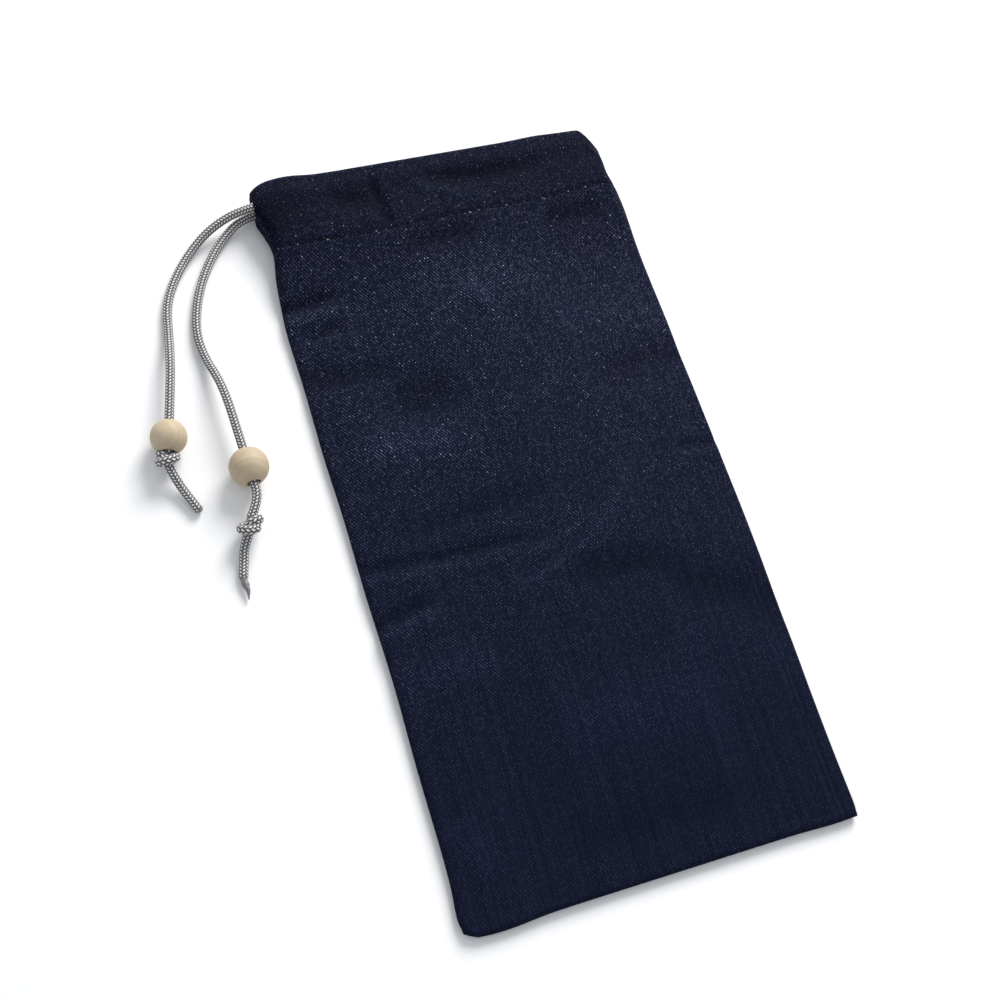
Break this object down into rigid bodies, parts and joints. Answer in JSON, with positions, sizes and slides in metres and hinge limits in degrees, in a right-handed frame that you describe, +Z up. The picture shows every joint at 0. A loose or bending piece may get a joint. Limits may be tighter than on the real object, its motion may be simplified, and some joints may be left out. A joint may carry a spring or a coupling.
{
  "type": "soft drawstring glasses pouch",
  "caption": "Flat soft cloth pouch for spectacles, with a hemmed mouth, a braided drawcord gathered from one side, and a wooden bead and knot on each cord end.",
  "frame": {"origin": "under the middle of the pouch, on the surface it lies on", "axes": "+X across the pouch from the cord side to the folded side, +Y along it towards the mouth, +Z up through its thickness"},
  "size_m": [0.14, 0.2, 0.0121],
  "materials": {
    "cloth": "matt twill, dark navy",
    "thread": "spun sewing thread, dark navy",
    "cord": "round braid, silver grey",
    "bead": "bare turned wood, fine sanded"
  },
  "bodies": {
    "pouch": {"front_panel": "cloth", "back_panel": "cloth", "front_casing": "cloth", "back_casing": "cloth", "side_seam_allowance": "cloth", "bottom_seam_allowance": "cloth", "casing_stitch_front": "thread", "casing_stitch_back": "thread", "side_seam_stitch": "thread", "bottom_seam_stitch": "thread"},
    "drawcord": {"drawcord_front_run": "cord", "drawcord_bend": "cord", "drawcord_back_run": "cord", "cord_tail_a": "cord", "cord_tail_b": "cord", "knot_a": "cord", "knot_b": "cord", "cord_end_a": "cord", "cord_end_b": "cord"},
    "bead_a": {"bead_a": "bead"},
    "bead_b": {"bead_b": "bead"}
  },
  "joints": [
    {"name": "drawcord_pull", "type": "slide", "parent": "pouch", "child": "drawcord", "axis": [-1, 0, 0], "range_m": [0, 0.05], "deforming": ["front_casing", "back_casing"]},
    {"name": "bead_a_slide", "type": "slide", "parent": "drawcord", "child": "bead_a", "axis": [0.2554, 0.9668, 0], "range_m": [0, 0.015]},
    {"name": "bead_b_slide", "type": "slide", "parent": "drawcord", "child": "bead_b", "axis": [-0.0316, 0.9995, 0], "range_m": [-0.0035, 0.015]}
  ]
}
